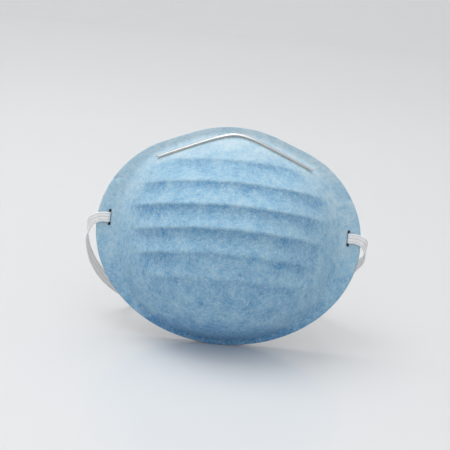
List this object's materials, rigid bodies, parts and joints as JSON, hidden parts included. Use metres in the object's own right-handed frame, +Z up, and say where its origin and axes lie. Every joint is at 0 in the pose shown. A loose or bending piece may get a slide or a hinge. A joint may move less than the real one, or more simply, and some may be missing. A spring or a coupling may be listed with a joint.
{
  "type": "disposable dust mask",
  "caption": "Moulded cup dust mask of blue nonwoven with pressed horizontal ribs, a bendable metal nose strip and a flat white elastic headband.",
  "frame": {"origin": "on the surface that the mask stands on, under the middle of the cup's box without the headband", "axes": "+Z up from chin to nose, -Y out of the front of the cup, +X across the face towards the viewer's right"},
  "size_m": [0.1441, 0.0916, 0.1054],
  "materials": {
    "blue_nonwoven": "matte moulded nonwoven felt",
    "filter_web": "matte fine white fibre web",
    "white_nonwoven": "matte soft white nonwoven",
    "nose_strip_metal": "bare satin metal",
    "hot_melt": "translucent amber adhesive",
    "clip_steel": "dull crimped steel",
    "white_elastic": "flat braided elastic with lengthwise ribs"
  },
  "bodies": {
    "mask_body": {"outer_shell": "blue_nonwoven", "filter_layer": "filter_web", "inner_liner": "white_nonwoven", "nose_strip": "nose_strip_metal", "nose_strip_adhesive": "hot_melt", "left_strap_clip": "clip_steel", "right_strap_clip": "clip_steel", "headband_left_end": "white_elastic", "headband_right_end": "white_elastic"},
    "headband": {"headband_loop": "white_elastic"}
  },
  "joints": [
    {"name": "headband_swing", "type": "hinge", "parent": "mask_body", "child": "headband", "pos_m": [0, 0.01483, 0.04513], "axis": [1, 0, 0], "range_deg": [0, 80]}
  ]
}
